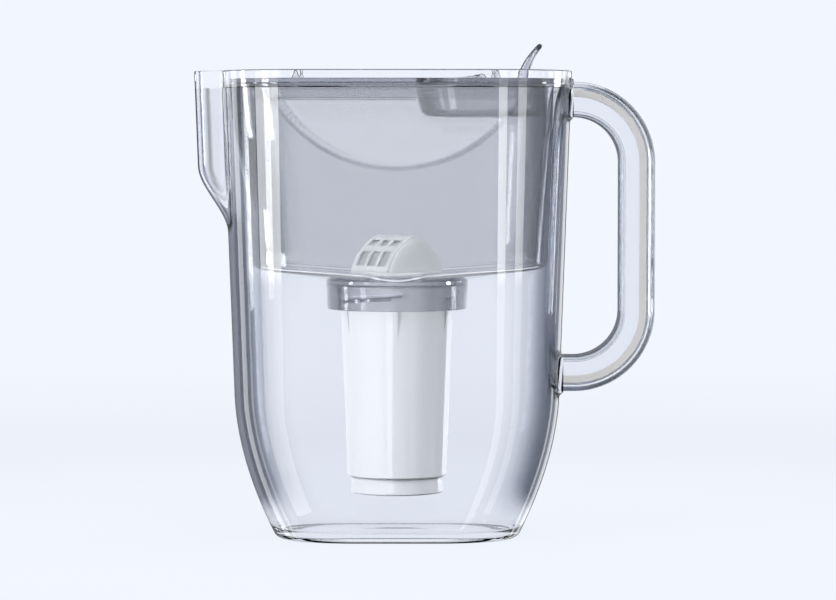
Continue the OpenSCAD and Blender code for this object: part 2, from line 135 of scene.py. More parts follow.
def makePiece(name, parts, body, replaced, material, sharpAngle=38.0):
    piece = bpy.data.objects.new(name, makeMesh(name, parts, sharpAngle))
    scene.collection.objects.link(piece)
    piece.data.materials.append(material)
    # flat faces stay flat to the eye up to their rounded edges
    even = piece.modifiers.new("even", "WEIGHTED_NORMAL")
    even.mode = "FACE_AREA"
    even.keep_sharp = True
    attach(piece, body)
    if replaced:
        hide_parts(*replaced)
    return piece


def combined(base, others, operation):
    # solid sum or difference of closed shells, as one new shell
    holder = bpy.data.objects.new("holder", makeMesh("holder", [base]))
    scene.collection.objects.link(holder)
    tools = []
    for k, other in enumerate(others):
        tool = bpy.data.objects.new(f"tool{k}", makeMesh(f"tool{k}", [other]))
        scene.collection.objects.link(tool)
        step = holder.modifiers.new(f"step{k}", "BOOLEAN")
        step.operation = operation
        step.solver = "MANIFOLD"
        step.object = tool
        tools.append(tool)
    shaped = holder.evaluated_get(bpy.context.evaluated_depsgraph_get()).to_mesh()
    points = np.empty(len(shaped.vertices) * 3, np.float32)
    shaped.vertices.foreach_get("co", points)
    shaped.calc_loop_triangles()
    corners = np.empty(len(shaped.loop_triangles) * 3, np.int32)
    shaped.loop_triangles.foreach_get("vertices", corners)
    for extra in [holder, *tools]:
        bpy.data.objects.remove(extra)
    return points.reshape(-1, 3).astype(float), [corners.reshape(-1, 3)]


def lathe(profile, segments=144, looped=False):
    # profile points (radius, height) turned about Z
    profile = np.asarray(profile, float)
    t = turns(segments)[None, :]
    r, z = profile[:, :1], profile[:, 1:]
    return loft(np.stack([r * np.cos(t), r * np.sin(t), z + 0 * t], -1), looped=looped)


def roundedProfile(corners, steps=4):
    # corners (x, y, radius) of a closed outline, each rounded by an arc that touches both sides
    out = []
    count = len(corners)
    for k, (x, y, radius) in enumerate(corners):
        here = np.array([x, y])
        before = np.array(corners[k - 1][:2]) - here
        after = np.array(corners[(k + 1) % count][:2]) - here
        before, after = before / np.linalg.norm(before), after / np.linalg.norm(after)
        if radius <= 0:
            out.append(here)
            continue
        half = math.acos(np.clip(before @ after, -1, 1)) / 2
        reach = radius / math.tan(half)
        centre = here + (before + after) / np.linalg.norm(before + after) * radius / math.sin(half)
        a, b = here + before * reach - centre, here + after * reach - centre
        turn = math.pi - 2 * half
        for t in np.linspace(0, 1, steps + 1):
            out.append(centre + (a * math.sin((1 - t) * turn) + b * math.sin(t * turn)) / math.sin(turn))
    return np.array(out)


# materials

class Wire:
    # one output of a node, with arithmetic: the other side is such an output or a number
    def __init__(self, board, socket):
        self.board, self.socket = board, socket

    def math(self, operation, a, b):
        return self.board.add("ShaderNodeMath", {"operation": operation}, {0: a, 1: b})

    def __add__(self, other):
        return self.math("ADD", self, other)

    def __sub__(self, other):
        return self.math("SUBTRACT", self, other)

    def __mul__(self, other):
        return self.math("MULTIPLY", self, other)

    def __pow__(self, other):
        return self.math("POWER", self, other)

    def __rsub__(self, other):
        return self.math("SUBTRACT", other, self)

    __radd__ = __add__
    __rmul__ = __mul__


class Board:
    # a node tree; add() makes a node, applies its settings, then its sockets' values or links
    def __init__(self, tree):
        self.tree = tree
        tree.nodes.clear()

    def add(self, kind, settings=None, sockets=None, output=0):
        node = self.tree.nodes.new(kind)
        for name, value in (settings or {}).items():
            if name == "stops":
                self.setStops(node.color_ramp, value)
            else:
                setattr(node, name, value)
        for name, value in (sockets or {}).items():
            if isinstance(value, Wire):
                self.tree.links.new(value.socket, node.inputs[name])
            else:
                node.inputs[name].default_value = value
        return Wire(self, node.outputs[output]) if len(node.outputs) else node

    @staticmethod
    def setStops(ramp, stops):
        while len(ramp.elements) > 1:
            ramp.elements.remove(ramp.elements[-1])
        for k, (place, colour) in enumerate(stops):
            stop = ramp.elements[0] if k == 0 else ramp.elements.new(place)
            stop.position, stop.color = place, colour

    def blend(self, factor, a, b):
        # colours a to b
        return self.add("ShaderNodeMix", {"data_type": "RGBA"}, {0: factor, 6: a, 7: b}, output=2)

    def between(self, value, low, high):
        # 0 below low, 1 above high, smooth between
        return self.add("ShaderNodeMapRange", {"interpolation_type": "SMOOTHSTEP"},
            {0: value, 1: low, 2: high, 3: 0.0, 4: 1.0})

    def band(self, value, rise, fall):
        # 1 from the end of the rise to the start of the fall, each given as (low, high)
        return self.between(value, *rise) * (1 - self.between(value, *fall))

    def noise(self, scale, detail=3.0, stretch=(1, 1, 1)):
        place = self.add("ShaderNodeTexCoord", output="Object")
        place = self.add("ShaderNodeMapping", sockets={"Vector": place, "Scale": stretch})
        return self.add("ShaderNodeTexNoise", sockets={"Vector": place, "Scale": scale, "Detail": detail})

    def tinted(self, a, b):
        # colours a times b
        return self.add("ShaderNodeMix", {"data_type": "RGBA", "blend_type": "MULTIPLY"},
            {0: 1.0, 6: a, 7: b}, output=2)

    def place(self):
        # the point's x, y and z
        place = self.add("ShaderNodeTexCoord", output="Object")
        split = self.add("ShaderNodeSeparateXYZ", sockets={"Vector": place}).socket.node
        return [Wire(self, split.outputs[k]) for k in range(3)]

    def bump(self, height, distance):
        return self.add("ShaderNodeBump", sockets={"Height": height, "Distance": distance})


def newMaterial(name):
    # what glows here is only meant to be seen, so no light is sampled from it
    material = bpy.data.materials.new(name)
    material.use_nodes = True
    material.cycles.emission_sampling = "NONE"
    return material, Board(material.node_tree)


def finishSurface(board, sockets):
    shader = board.add("ShaderNodeBsdfPrincipled", sockets=sockets)
    board.add("ShaderNodeOutputMaterial", sockets={"Surface": shader})


def archTinted(board, colour, look):
    # The long walls are paler inside the pressed arch, and darkened by painted shade along its border, which
    # fades towards the arch's lowest point. Distances count outwards from the arch's edge.
    x, y, z = board.place()
    height = z - archZ
    away = (x * x + height * height) ** 0.5 - hopper["archRadius"]
    wall = board.between(y * y, *[v ** 2 for v in look["archWall"]])
    inside = 1 - board.between(away, *look["archInside"])
    border = board.band(away, *look["archBorder"]) * board.between(x * x, 0.0, look["archFade"] ** 2)
    colour = board.blend(inside * wall, colour, look["archTint"])
    return board.blend(border * wall, colour, look["archEdgePaintedShade"])


def calmed(board, facing, look):
    # Thin walls hardly deepen: the spout's, the rim's above the ledge and the floor's. The spout
    # keeps its outermost line.
    x, y, z = board.place()
    spout = board.between(0 - x, *look["spoutFrom"]) * board.between(z, *look["spoutCalmFrom"])
    rim = board.between(z, *look["rimFrom"])
    floor = 1 - board.between(z, *look["floorTo"])
    facing = facing ** (1 + spout * look["spoutCalm"])
    return facing * (1 - rim * look["rimCalm"]) * (1 - floor * look["floorCalm"])


def spoutPaintedLines(board, colour, look, edgeOn):
    # Painted shade on the spout: two deep lines painted along its outermost glass, where it is seen through
    # its whole depth, and inside them a band painted a middle tone, paler than the lines and darker than the
    # clear wall, over the round where the spout's walls turn towards each other. The deep lines are only
    # there where the wall is edge on, so the nose stays clear from its own end.
    x, y, z = board.place()
    start, draft = jug["spoutStart"], jug["lengthDraft"]
    nose = board.between(z, start, start + jug["spoutRise"]) * jug["spoutOut"]
    inwards = nose + z * draft + (jug["rimLength"] / 2 - jug["height"] * draft) + x
    outer, *inner = look["spoutLines"]
    lines = 1 - board.between(inwards, *outer) + board.band(inwards, *inner)
    deep = lines * board.between(z, *look["spoutLinesFrom"]) * board.between(edgeOn, *look["spoutEdgeOn"])
    lined = board.blend(deep, colour, look["spoutLinePaintedShade"])
    band = board.band(inwards, *look["spoutBand"]) * board.band(z, *look["spoutBandHigh"])
    return board.blend(band, lined, look["spoutBandPaintedShade"])


def paintedFootHighlight(board, look):
    # a painted highlight: a fine bright line along the outer corner of the hopper's foot, emitted as colour
    x, y, z = board.place()
    away = board.add("ShaderNodeMath", {"operation": "ABSOLUTE"}, {0: x})
    run = board.add("ShaderNodeMath", {"operation": "MAXIMUM"}, {0: away - hopper["dipX"], 1: 0.0})
    slope = hopper["floorRise"] / (hopper["mouthRight"] - hopper["dipX"])
    dip = board.between(away, 0.0, hopper["dipX"]) * look["glowDip"]
    up = z - dip - run * slope - hopper["floorZ"]
    low, high = look["glowAt"]
    line = board.band(up, (low, low + 0.0003), (high - 0.0003, high))
    return line * board.between(y * y, *[v ** 2 for v in look["glowWall"]])


def coated(board, look):
    # polished over the front and back walls, above coatFrom and between the ends
    if "coatEnds" not in look:
        return look["coat"]
    x, y, z = board.place()
    return board.band(x, *look["coatEnds"]) * board.band(z, look["coatFrom"], look["rimFrom"]) * look["coat"]


def clearPlastic(name, look):
    # Clear moulding. Its tint deepens where the wall is seen edge on, and light passes for shadows.
    material, board = newMaterial(name)
    facing = board.add("ShaderNodeLayerWeight", sockets={"Blend": 0.5}, output="Facing")
    flow = board.noise(look["flowScale"], 2.0, (1, 1, 0.35))
    colour = board.blend(flow, look["tint"], look["tintVaried"])
    if "archTint" in look:
        colour = archTinted(board, colour, look)
    if "spoutFrom" in look:
        edgeOn, facing = facing, calmed(board, facing, look)
        x, y, z = board.place()
        colour = board.blend(board.between(0 - x, *look["spoutTintFrom"]), colour, look["spoutTint"])
        colour = board.blend(board.between(z, *look["rimFrom"]), colour, look["rimTint"])
        colour = spoutPaintedLines(board, colour, look, edgeOn)
    if "footFrom" in look:
        foot = 1 - board.between(board.place()[2], *look["footFrom"])
        facing = facing * (1 - foot * look["footCalm"])
    if "edgeBand" in look:
        # light travels far along a plate behind its edge, so the edge looks deeper
        low, high = look["edgeBand"]
        up = board.add("ShaderNodeNewGeometry", output="Normal")
        up = board.add("ShaderNodeSeparateXYZ", sockets={"Vector": up}, output="Z")
        height = board.place()[2]
        band = board.band(height, (low, low + 0.0002), (high - 0.0002, high))
        colour = board.blend(band * (1 - up * up), colour, look["edgeBandTint"])
    depth = board.add("ShaderNodeValToRGB", {"stops": look["depth"]}, {"Fac": facing}, output="Color")
    colour = board.tinted(colour, depth)
    shadow = board.add("ShaderNodeLightPath", output="Is Shadow Ray")
    glow = {}
    # a painted highlight: the emitted fine bright line along the hopper's foot, where a look has glow
    if "glow" in look:
        glow = {"Emission Color": board.blend(paintedFootHighlight(board, look), (0, 0, 0, 1), look["glow"]),
            "Emission Strength": 1.0}
    finishSurface(board, {
        **glow,
        "Base Color": colour,
        "Roughness": board.noise(90.0) * look["roughness"],
        "IOR": look["ior"],
        "Specular Tint": (*[look["shine"]] * 3, 1),
        "Transmission Weight": 1.0,
        "Coat Weight": coated(board, look),
        "Coat Roughness": look["coatRough"],
        "Coat IOR": look["coatIor"],
        "Alpha": 1 - shadow * look["lightThrough"],
        "Normal": board.bump(flow, look["wave"]),
    })
    return material


def satinPlastic(name, look):
    # Opaque moulding with a fine spark-eroded grain and a slow drift of tone
    material, board = newMaterial(name)
    drift = board.noise(look["driftScale"])
    grain = board.noise(look["grainScale"], 4.0)
    finishSurface(board, {
        "Base Color": board.blend(drift, look["colour"], look["colourVaried"]),
        "Roughness": look["roughness"] + drift * look["roughnessDrift"],
        "IOR": 1.49,
        "Subsurface Weight": look["glowThrough"],
        "Subsurface Radius": (1.0, 1.0, 1.0),
        "Subsurface Scale": 0.005,
        "Normal": board.bump(grain, look["grainDepth"]),
    })
    return material


def shades(hue, *steps):
    # ramp stops (facing, share of light) that drift from neutral to the hue as they deepen
    return [(f, (*[share ** power for power in hue], 1)) for f, share in steps]


smokyLook = {
    "tint": linear(231, 231, 232), "tintVaried": linear(228, 228, 230),
    "depth": shades((1.0, 0.985, 0.93), (0, 1), (0.03, 1), (0.12, 0.9), (0.2, 0.72), (0.3, 0.42),
        (0.4, 0.26), (0.5, 0.2), (0.7, 0.2), (0.84, 0.9), (1, 1)),
    "roughness": 0.03, "ior": 1.49, "lightThrough": 0.95, "flowScale": 18.0, "wave": 0.00002,
    "shine": 1.0, "coat": 1.0, "coatIor": 1.5, "coatRough": 0.04,
}
whiteLook = {
    "colour": linear(238, 241, 248), "colourVaried": linear(232, 236, 244), "driftScale": 20.0,
    "roughness": 0.5, "roughnessDrift": 0.08, "grainScale": 900.0, "grainDepth": 0.00002,
    "glowThrough": 0.0,
}


# pieces that keep their meshes from the frame: the flap and what is hidden inside

pinLook = dict(whiteLook, colour=linear(196, 198, 204), colourVaried=linear(188, 190, 198))
sealLook = dict(whiteLook, colour=linear(190, 192, 198), colourVaried=linear(180, 182, 190), roughness=0.6)
meshLook = dict(whiteLook, colour=linear(214, 216, 220), colourVaried=linear(150, 154, 160),
    driftScale=1400.0, grainScale=1400.0, grainDepth=0.0002, roughness=0.7)
feltLook = dict(whiteLook, colour=linear(236, 235, 230), colourVaried=linear(206, 205, 198),
    driftScale=500.0, grainScale=700.0, grainDepth=0.0004, roughness=0.85)
bedLook = dict(whiteLook, colour=linear(24, 24, 27), colourVaried=linear(88, 86, 80),
    driftScale=900.0, grainScale=800.0, grainDepth=0.0008, roughness=0.55)
keptLooks = {
    "hinge_pin": pinLook, "cartridge_seal": sealLook, "inlet_mesh": meshLook, "outlet_mesh": meshLook,
    "upper_pad": feltLook, "lower_pad": feltLook, "filter_bed": bedLook,
}
finishes = {name: satinPlastic(name + "Finish", look) for name, look in keptLooks.items()}
finishes["flap"] = clearPlastic("smokyPlastic", smokyLook)
for name, finish in finishes.items():
    cadNodes[name].data.materials.clear()
    cadNodes[name].data.materials.append(finish)
print("kept meshes finished")


# outline in plan: straight long walls with superelliptic ends

planPower = 2.2
flatHalf = 0.049


def stations(nEnd, nWall, crowd):
    # Columns of (share of the straight half length, share of the half depth, share of the round
    # end), anticlockwise from the front corner on the +X side
    rows = []
    for side in (1, -1):
        k = np.arange(-nEnd, nEnd + 1) / nEnd
        phi = math.pi / 2 * signedPower(side * k, crowd)
        rows.append(np.stack([np.full_like(phi, side), signedPower(np.sin(phi), 2 / planPower),
            side * np.clip(np.cos(phi), 0, None) ** (2 / planPower)], -1))
        w = np.arange(1, nWall) / nWall
        rows.append(np.stack([side * (1 - 2 * w), np.full_like(w, side), np.zeros_like(w)], -1))
    return np.vstack(rows)


def onPlan(st, a, b, flat):
    # st: columns x 3; a, b and flat: one value for each row
    return st[:, 0] * flat + st[:, 2] * (a - flat), st[:, 1] * b


# jug

jug = {
    "height": 0.2635, "rimLength": 0.1976, "rimDepth": 0.120, "baseLength": 0.137,
    "baseDepth": 0.084, "crease": 0.080, "wall": 0.003, "rimWall": 0.0014, "ledgeDrop": 0.0095,
    "floor": 0.0032, "floorRound": 0.005, "baseRound": 0.0024, "lengthDraft": 0.037,
    "depthDraft": 0.022, "footPower": 1.86, "flatDrop": 0.025, "spoutOut": 0.0158,
    "spoutHalf": 0.021, "spoutStart": 0.172, "spoutRise": 0.038, "spoutPower": 1.3,
    "spoutLag": 0.0012, "spoutFade": 0.006, "padTopX": 0.0992, "padLowX": 0.0936, "padReach": 0.018,
    "recess": 0.0012, "dome": 0.0009,
}
handle = {
    "width": 0.0198, "depth": 0.027, "wall": 0.0032, "round": 0.005, "bendRadius": 0.0354,
    "bendX": 0.1001, "bendTop": 0.2121, "bendLow": 0.1283, "coreFrom": 0.0016, "coreHalf": 0.0006,
}
ledgeZ = jug["height"] - jug["ledgeDrop"]
footLength = jug["rimLength"] / 2 - jug["height"] * jug["lengthDraft"] - jug["baseLength"] / 2
footDepth = jug["rimDepth"] / 2 - jug["height"] * jug["depthDraft"] - jug["baseDepth"] / 2


def foot(z):
    # 0 above the crease, 1 at the base
    return np.clip(1 - z / jug["crease"], 0, 1) ** jug["footPower"]


def jugLengthAt(z):
    return jug["rimLength"] / 2 - (jug["height"] - z) * jug["lengthDraft"] - foot(z) * footLength


def jugDepthAt(z):
    return jug["rimDepth"] / 2 - (jug["height"] - z) * jug["depthDraft"] - foot(z) * footDepth


def jugRings(st, z, inset, lag=0.0, pads=False):
    # Plan outline at each height, less the inset. The spout is a cosine bump on the -X end, and
    # the two pads under the handle's roots are flats on the +X end. The inner wall (with a lag)
    # has no ledge in the spout.
    z, inset = np.asarray(z, float)[:, None], np.asarray(inset, float)[:, None]
    if lag:
        depth = np.abs(onPlan(st, 1, jug["rimDepth"] / 2, flatHalf)[1])
        inSpout = smoothStep((jug["spoutHalf"] - depth) / jug["spoutFade"]) * (st[:, 0] < 0)
        inset = inset + np.clip(jug["wall"] - inset, 0, None) * inSpout
    x, y = onPlan(st, jugLengthAt(z) - inset, jugDepthAt(z) - inset, flatHalf - foot(z) * jug["flatDrop"])
    across = np.clip(np.abs(y) / (jug["spoutHalf"] - inset), 0, 1)
    rise = jug["spoutOut"] * smoothStep((z - lag - jug["spoutStart"]) / jug["spoutRise"])
    x = x - np.where(x < 0, rise * np.cos(across * np.pi / 2) ** jug["spoutPower"], 0)
    if pads:
        half = handle["width"] / 2 + 0.001
        roots = ((handle["bendTop"], 1, jug["padTopX"]), (handle["bendLow"], -1, jug["padLowX"]))
        for bend, sign, padX in roots:
            beyond = np.clip(np.abs(z - bend - sign * handle["bendRadius"]) - half, 0, None)
            flat = np.where(np.abs(y) < jug["padReach"], padX - beyond * 3, 0)
            x = np.where(x > 0, np.maximum(x, flat), x)
    return np.stack([x, y, z + 0 * x], -1)


def buildJug():
    st = stations(44, 12, 1.15)
    # rows of points stand closer together higher up
    r, h = jug["baseRound"], jug["height"]
    b = arcSteps(8, 90, 0)
    outerZ = np.concatenate([r * (1 - np.sin(b)), np.arange(0.004, 0.08, 0.002),
        np.arange(0.080, 0.170, 0.0015), np.arange(0.170, 0.262, 0.0013), [h - 0.0006, h - 0.0002, h]])
    outerIn = np.concatenate([r * (1 - np.cos(b)), np.zeros(len(outerZ) - len(b) - 2), [0.00012, 0.0004]])
    f, w = jug["floorRound"], jug["wall"]
    c = arcSteps(8, 0, 90)
    innerZ = np.concatenate([[h, h - 0.0002, h - 0.0006, 0.256],
        [ledgeZ + 0.0003, ledgeZ, ledgeZ, ledgeZ - 0.0003], np.arange(0.2525, 0.170, -0.0013),
        np.arange(0.170, 0.080, -0.0015), np.arange(0.080, 0.010, -0.002),
        jug["floor"] + f * (1 - np.sin(c))])
    rim = jug["rimWall"]
    innerIn = np.concatenate([[rim - 0.0003, rim - 0.0001, rim, rim, rim, rim + 0.0003, w - 0.0003, w],
        np.full(len(innerZ) - 8 - len(c), w), w + f * (1 - np.cos(c))])
    outer = jugRings(st, outerZ, outerIn, pads=True)
    inner = jugRings(st, innerZ, innerIn, lag=jug["spoutLag"])
    # underside: a narrow ring foot, then a recess that swells upwards to the middle
    share = np.linspace(0.04, 1, 28)
    edge = outer[0][None, :, :2]
    under = np.concatenate([edge * share[:, None, None], np.zeros((28, edge.shape[1], 1))], -1)
    away = 1 - share
    under[..., 2] = (jug["recess"] * smoothStep(away / 0.09 - 0.6)
        + jug["dome"] * smoothStep((away - 0.15) / 0.85))[:, None]
    # floor: level at its edge, with a low swell in the middle
    share = np.linspace(1, 0.04, 24)[1:]
    edge = inner[-1][None, :, :2]
    top = np.concatenate([edge * share[:, None, None], np.full((23, edge.shape[1], 1), jug["floor"])], -1)
    top[..., 2] += (jug["dome"] * smoothStep((1 - share) / 0.9))[:, None]
    return loft(np.concatenate([under[:-1], outer, inner, top]))


clearLook = {
    "tint": (0.935, 0.943, 0.957, 1), "tintVaried": (0.925, 0.934, 0.95, 1),
    "depth": shades((1.0, 0.955, 0.86), (0, 1), (0.03, 1), (0.11, 0.93), (0.16, 0.875), (0.22, 0.78),
        (0.28, 0.73), (0.357, 0.54), (0.455, 0.36), (0.56, 0.20), (0.64, 0.125), (0.80, 0.12), (0.99, 0.05)),
    "roughness": 0.004, "ior": 1.49, "lightThrough": 0.97, "flowScale": 14.0, "wave": 0.00002,
    "shine": 0.35, "coat": 1.0, "coatIor": 1.5, "coatRough": 0.015,
    "coatFrom": (0.142, 0.156), "coatEnds": ((-0.0845, -0.0805), (0.078, 0.086)),
    "rimFrom": (0.2530, 0.2545), "rimCalm": 0.93, "rimTint": (0.985, 0.99, 1.0, 1),
    "floorTo": (0.008, 0.030), "floorCalm": 0.9,
    "spoutFrom": (0.0885, 0.094), "spoutCalmFrom": (0.165, 0.185), "spoutCalm": 1.3,
    "spoutTintFrom": (0.097, 0.1005), "spoutTint": (0.89, 0.90, 0.92, 1),
    # inwards from the spout's outline: the first line's end, the second's rise and fall
    "spoutLines": ((0.0015, 0.0019), (0.0027, 0.0030), (0.0038, 0.0042)),
    "spoutLinesFrom": (0.168, 0.180), "spoutEdgeOn": (0.20, 0.33),
    # painted shade: the colours of the spout's two deep lines and of its middle-tone band
    "spoutLinePaintedShade": (0.24, 0.26, 0.35, 1),
    "spoutBand": ((0.0066, 0.0072), (0.0084, 0.0092)),
    "spoutBandHigh": ((0.192, 0.202), (0.2535, 0.2545)),
    "spoutBandPaintedShade": (0.55, 0.56, 0.57, 1),
}
clear = clearPlastic("clearPlastic", clearLook)
makePiece("jugShell", [buildJug()], "jug", ["jug_body"], clear)
print("jug made")


# handle

def barPath():
    # Centre line of the C and its outward direction, from the upper root to the lower one
    t = arcSteps(28, 90, 0)
    r, cx, top, low = handle["bendRadius"], handle["bendX"], handle["bendTop"], handle["bendLow"]
    rows = [[jug["padTopX"] + 0.00005, 0, top + r, 0, 1]]
    rows += [[cx + r * math.cos(a), 0, top + r * math.sin(a), math.cos(a), math.sin(a)] for a in t]
    rows += [[cx + r, 0, z, 1, 0] for z in np.linspace(top, low, 30)[1:-1]]
    rows += [[cx + r * math.cos(a), 0, low - r * math.sin(a), math.cos(a), -math.sin(a)] for a in t[::-1]]
    rows += [[x, 0, low - r, 0, -1] for x in np.linspace(cx, jug["padLowX"] + 0.00005, 4)[1:]]
    return np.array(rows)


def alongBar(section):
    # clockwise section points (out, across) carried along the bar's path
    path, section = barPath(), section[::-1]
    out, across = section[:, 0][None, :], section[:, 1][None, :]
    x = path[:, 0:1] + out * path[:, 3:4]
    z = path[:, 2:3] + out * path[:, 4:5]
    return loft(np.stack([x, across + 0 * x, z], -1))


def buildBar():
    w, d, t, r = handle["width"] / 2, handle["depth"] / 2, handle["wall"], handle["round"]
    v = d - t
    lip = 0.0006
    return alongBar(roundedProfile([(-w, v, lip), (w - t, v, 0.0022), (w - t, -v, 0.0022), (-w, -v, lip),
        (-w, -d, 0.003), (w, -d, r), (w, d, r), (-w, d, 0.003)], 8))


def buildLiner():
    w, v, t = handle["width"] / 2, handle["depth"] / 2 - handle["wall"] - 0.00006, handle["wall"]
    return alongBar(roundedProfile(
        [(-w, v, 0.0005), (-w, -v, 0.0005), (t - w, -v, 0.0004), (t - w, v, 0.0004)], 3))


def buildCore():
    # thin rib that stands on the channel's outer wall
    a, b, half = handle["coreFrom"], handle["width"] / 2 - handle["wall"] + 0.0002, handle["coreHalf"]
    return alongBar(roundedProfile([(a, half, 0.0003), (a, -half, 0.0003), (b, -half, 0), (b, half, 0)], 3))


coreLook = dict(whiteLook, colour=linear(226, 225, 224), colourVaried=linear(219, 218, 218))
coreSatin = satinPlastic("corePlastic", coreLook)
makePiece("handleCore", [buildCore()], "jug", [], coreSatin)
makePiece("handleBar", [buildBar()], "jug", ["handle_bar"], clear)
makePiece("handleLiner", [buildLiner()], "jug", ["handle_liner"], clear)
print("handle made")


# hopper

hopper = {
    "skin": 0.0024, "mouthRight": 0.0929, "mouthLeft": 0.095, "mouthHalf": 0.0562, "floorHalf": 0.050,
    "floorZ": 0.146, "archRise": 0.0235, "archRadius": 0.080, "archIn": 0.0024, "archSoft": 0.004,
    "endDraft": 0.075,
    "leftLow": 0.082, "leftLowZ": 0.160, "curveZ": 0.182, "curveRise": 0.058, "lowZ": 0.160,
    "corner": 0.0042, "dipX": 0.022, "dip": 0.0018, "floorRise": 0.0055, "flange": 0.002,
    "padRadius": 0.0419, "holeRadius": 0.0344,
}
archZ = jug["height"] + hopper["archRise"]


def hopperWall(st, z, inset):
    z, inset = np.asarray(z, float)[:, None], np.asarray(inset, float)[:, None]
    right = hopper["mouthRight"] - (ledgeZ - z) * hopper["endDraft"]
    slope = (z - hopper["leftLowZ"]) * hopper["endDraft"]
    gain = hopper["mouthLeft"] - hopper["leftLow"] - (ledgeZ - hopper["leftLowZ"]) * hopper["endDraft"]
    left = hopper["leftLow"] + slope + gain * smoothStep((z - hopper["curveZ"]) / hopper["curveRise"])
    high = (z - hopper["floorZ"]) / (ledgeZ - hopper["floorZ"])
    half = mix(hopper["floorHalf"], hopper["mouthHalf"], high)
    x, y = onPlan(st, np.where(st[:, 0] > 0, right, left) - inset, half - inset, flatHalf)
    pressed = (hopper["archRadius"] - np.hypot(x, archZ - z)) / hopper["archSoft"]
    y = y - st[:, 1] * hopper["archIn"] * smoothStep(pressed)
    return np.stack([x, y, z + 0 * x], -1)


def hopperFloorZ(x):
    # falls from the ends to the middle, with a steeper dip over the collar
    x = np.abs(x)
    return (hopper["floorZ"] + hopper["dip"] * smoothStep(x / hopper["dipX"]) + hopper["floorRise"]
        * np.clip(x - hopper["dipX"], 0, None) / (hopper["mouthRight"] - hopper["dipX"]))


def hopperCorner(st, angles, inset, lift):
    r = hopper["corner"] - inset
    rings = hopperWall(st, np.full(len(angles), hopper["lowZ"]), inset + r * (1 - np.cos(angles)))
    rings[..., 2] = hopperFloorZ(rings[..., 0]) + lift + r * (1 - np.sin(angles))[:, None]
    return rings


def circleLike(ring, radius, z):
    # points on a circle, in the same directions as the ring's
    flat = ring[:, :2] / np.linalg.norm(ring[:, :2], axis=1, keepdims=True) * radius
    return np.concatenate([flat, np.full((len(ring), 1), z)], -1)


def floorStrip(ring, radius, z, count):
    circle = circleLike(ring, radius, z)
    t = np.linspace(0, 1, count)[:, None, None]
    return mix(circle[None], ring[None], t)


def rimRing(st, z, inset):
    z = np.array([[z]])
    x, y = onPlan(st, jugLengthAt(z) - inset, jugDepthAt(z) - inset, flatHalf)
    return np.stack([x, y, z + 0 * x], -1)


def buildHopper():
    st = stations(40, 48, 1.1)
    t, top = hopper["skin"], ledgeZ + hopper["flange"]
    angles = arcSteps(8, 90, 0)
    wallZ = np.concatenate([[hopper["lowZ"]], np.arange(0.1615, 0.2535, 0.0015)])
    low = hopperCorner(st, angles, 0, 0)
    strip = floorStrip(low[0], hopper["padRadius"], hopper["floorZ"], 14)[:-1]
    hole = circleLike(low[0], hopper["holeRadius"], hopper["floorZ"])[None]
    outer = hopperWall(st, wallZ, np.zeros(len(wallZ)))
    edge = jug["rimWall"] + 0.0004
    flange = np.concatenate([rimRing(st, ledgeZ, edge + 0.0002), rimRing(st, ledgeZ + 0.0003, edge),
        rimRing(st, top - 0.0005, edge), rimRing(st, top - 0.0001, edge + 0.0003),
        rimRing(st, top, edge + 0.0007)])
    ledge = hopperWall(st, [ledgeZ], [0.0])
    inner = hopperWall(st, [top, top - 0.0006, *wallZ[::-1]], [t + 0.0006, t, *np.full(len(wallZ), t)])
    lowIn = hopperCorner(st, angles[::-1], t, t)
    stripIn = floorStrip(lowIn[-1], hopper["padRadius"], hopper["floorZ"] + t, 14)[::-1][1:]
    holeIn = circleLike(low[0], hopper["holeRadius"], hopper["floorZ"] + t)[None]
    rings = [hole, strip, low, outer[1:], ledge, flange, inner, lowIn[1:], stripIn, holeIn]
    return loft(np.concatenate(rings), looped=True)


hopperLook = dict(smokyLook, tint=linear(233, 233, 234), tintVaried=linear(230, 230, 232),
    edgeBand=(0.2538, 0.2562), edgeBandTint=linear(186, 187, 194),
    archTint=linear(243.5, 243.5, 244), archInside=(-0.0045, -0.0005), archWall=(0.030, 0.040),
    # archEdge: painted shade along the border of the pressed arch
    archEdgePaintedShade=linear(204, 205, 209), archBorder=((-0.0024, -0.001), (-0.001, 0.0003)), archFade=0.045,
    footFrom=(0.1575, 0.161), footCalm=0.4,
    # glow paints a fine bright highlight along the hopper's foot, as emitted colour
    glow=(0.52, 0.53, 0.56, 1), glowAt=(0.0002, 0.0013), glowDip=0.0030, glowWall=(0.030, 0.034))
hopperSmoky = clearPlastic("hopperPlastic", hopperLook)
makePiece("hopperShell", [buildHopper()], "hopper", ["hopper"], hopperSmoky)
print("hopper made")


# collar with its thread

collar = {
    "radius": 0.0404, "taper": 0.001, "bore": 0.034, "height": 0.0167, "web": 0.0024,
    "webHole": 0.0285, "spigot": 0.0336, "lead": 0.012, "starts": 3, "threadTurn": 50,
    "threadUp": 0.006, "threadIn": 0.0017,
}
collarZ = hopper["floorZ"] - collar["height"]
webZ = hopper["floorZ"] - collar["web"]
ridgeZ = collarZ + collar["threadUp"]


def ridge(root, tip, z, mid, span, steps=28):
    # a helical ridge: a trapezium that turns through span about mid and climbs at the lead
    t = np.linspace(-0.5, 0.5, steps + 1)
    sign = math.copysign(1, tip - root)
    across = np.array([root, root + (tip - root) * 0.8, tip, tip, root + (tip - root) * 0.8, root])[None, :]
    up = np.array([-0.95, -0.8, -0.45, 0.45, 0.8, 0.95])[None, :] * 0.001 * sign
    turn = mid + t[:, None] * span
    rise = collar["lead"] * (turn - mid) / (2 * math.pi)
    return loft(np.stack([across * np.cos(turn), across * np.sin(turn), z + rise + up], -1))


